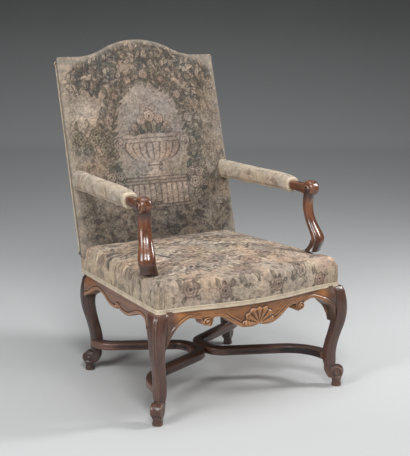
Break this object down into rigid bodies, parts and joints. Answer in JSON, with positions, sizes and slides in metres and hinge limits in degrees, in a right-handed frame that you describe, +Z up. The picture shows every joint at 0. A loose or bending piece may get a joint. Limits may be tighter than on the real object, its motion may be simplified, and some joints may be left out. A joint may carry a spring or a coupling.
{
  "type": "upholstered armchair",
  "caption": "Open-arm upholstered armchair: padded seat and tall arched back on a carved wooden frame with scrolled legs and a curved cross stretcher, for one person to sit in.",
  "frame": {"origin": "on the floor under the middle of the chair's bounding box", "axes": "+Z up, -Y towards the front of the seat, +X across the seat"},
  "size_m": [0.7172, 0.8186, 1.0956],
  "materials": {
    "leg_wood": "waxed, satin gloss",
    "rail_wood": "waxed, worn lighter",
    "side_rail_wood": "waxed",
    "stretcher_wood": "waxed, dark",
    "arm_wood": "polished by hand",
    "hidden_wood": "bare",
    "tapestry": "woven wool tapestry, faded",
    "arm_cloth": "woven wool, faded",
    "braid": "woven braid",
    "backing_cloth": "plain linen",
    "hessian": "coarse jute",
    "webbing": "woven jute",
    "horsehair": "curled hair",
    "iron": "dark, plain"
  },
  "bodies": {
    "root": {"arm_left": "arm_wood", "arm_pad_cover_left": "arm_cloth", "arm_pad_cover_right": "arm_cloth", "arm_pad_stuffing_left": "horsehair", "arm_pad_stuffing_right": "horsehair", "arm_right": "arm_wood", "arm_support_left": "arm_wood", "arm_support_right": "arm_wood", "arm_support_screws": "iron", "back_cover": "tapestry", "back_crest_rail": "hidden_wood", "back_hessian": "hessian", "back_lower_rail": "hidden_wood", "back_outside_cover": "backing_cloth", "back_stuffing": "horsehair", "back_webbing": "webbing", "frame_pegs": "leg_wood", "front_leg_left": "leg_wood", "front_leg_right": "leg_wood", "front_rail": "rail_wood", "rear_leg_left": "leg_wood", "rear_leg_right": "leg_wood", "rear_rail": "hidden_wood", "seat_cover": "tapestry", "seat_gimp": "braid", "seat_hessian": "hessian", "seat_stuffing": "horsehair", "seat_webbing": "webbing", "side_rail_left": "side_rail_wood", "side_rail_right": "side_rail_wood", "stretcher_dowels": "stretcher_wood", "stretcher_front_left": "stretcher_wood", "stretcher_front_right": "stretcher_wood", "stretcher_rear_left": "stretcher_wood", "stretcher_rear_right": "stretcher_wood"}
  },
  "joints": []
}
